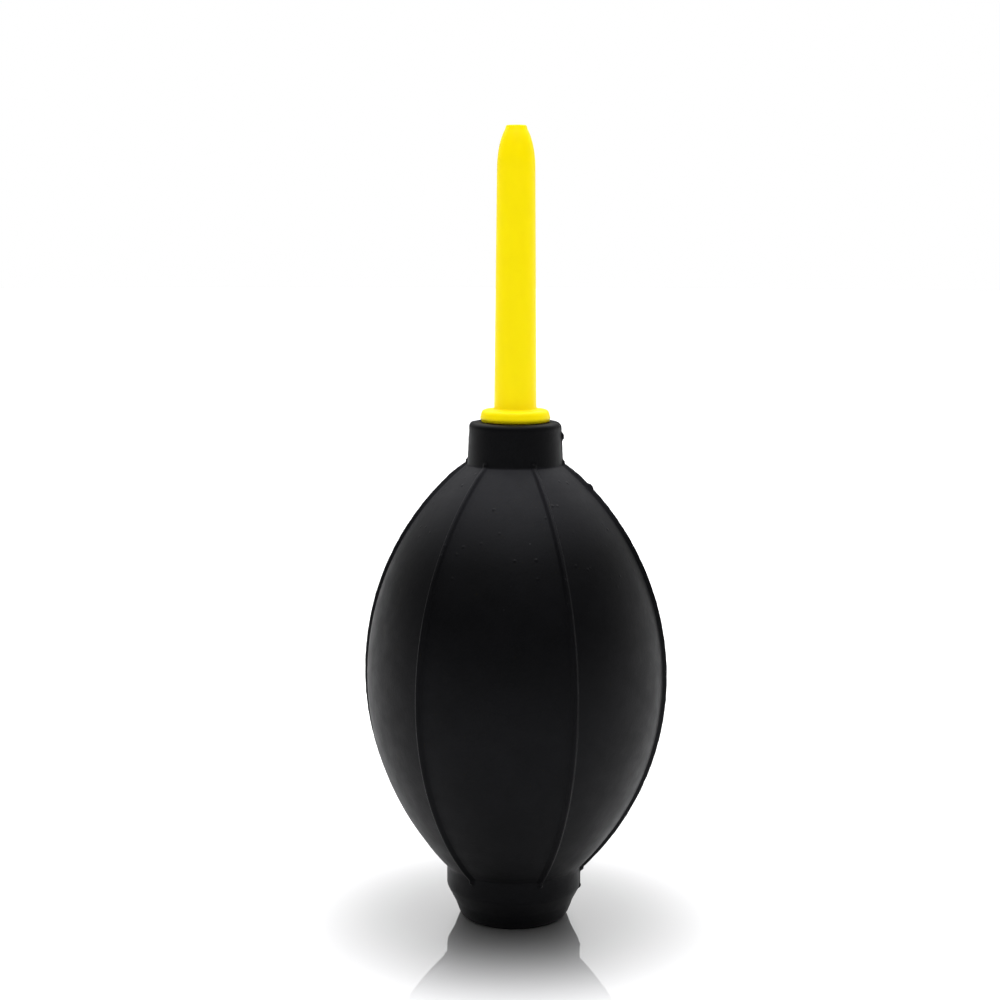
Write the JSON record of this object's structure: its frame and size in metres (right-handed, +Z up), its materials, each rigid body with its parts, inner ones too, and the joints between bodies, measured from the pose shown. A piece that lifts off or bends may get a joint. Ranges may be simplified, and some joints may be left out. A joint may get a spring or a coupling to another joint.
{
  "type": "dust blower bulb",
  "caption": "Ribbed black rubber squeeze bulb with a push-in yellow nozzle and one-way air valves, for blowing dust off small work.",
  "frame": {"origin": "centre of the foot's underside", "axes": "+Z up the bulb's axis to the nozzle tip, -Y the front, +X the front's right-hand side"},
  "size_m": [0.0508, 0.0502, 0.133],
  "materials": {
    "black_rubber": "matt moulded rubber",
    "yellow_plastic": "satin moulded plastic",
    "valve_plastic": "matt moulded plastic",
    "flap_silicone": "milky silicone"
  },
  "bodies": {
    "base": {"bulb": "black_rubber", "inlet_valve_body": "valve_plastic", "inlet_valve_cage": "valve_plastic", "inlet_strainer": "valve_plastic"},
    "neck": {"outlet_valve_seat": "valve_plastic"},
    "nozzle": {"nozzle": "yellow_plastic"},
    "outlet_disc": {"outlet_valve_disc": "flap_silicone"},
    "inlet_disc": {"inlet_valve_disc": "flap_silicone"}
  },
  "joints": [
    {"name": "squeeze", "type": "slide", "parent": "base", "child": "neck", "axis": [0, 0, -1], "range_m": [0, 0.015], "stiffness_N_per_m": 1200, "deforming": ["bulb"]},
    {"name": "nozzle_pull", "type": "slide", "parent": "neck", "child": "nozzle", "axis": [0, 0, 1], "range_m": [0, 0.012]},
    {"name": "outlet_valve_lift", "type": "slide", "parent": "neck", "child": "outlet_disc", "axis": [0, 0, 1], "range_m": [0, 0.0012]},
    {"name": "inlet_valve_lift", "type": "slide", "parent": "base", "child": "inlet_disc", "axis": [0, 0, 1], "range_m": [0, 0.0012]}
  ]
}
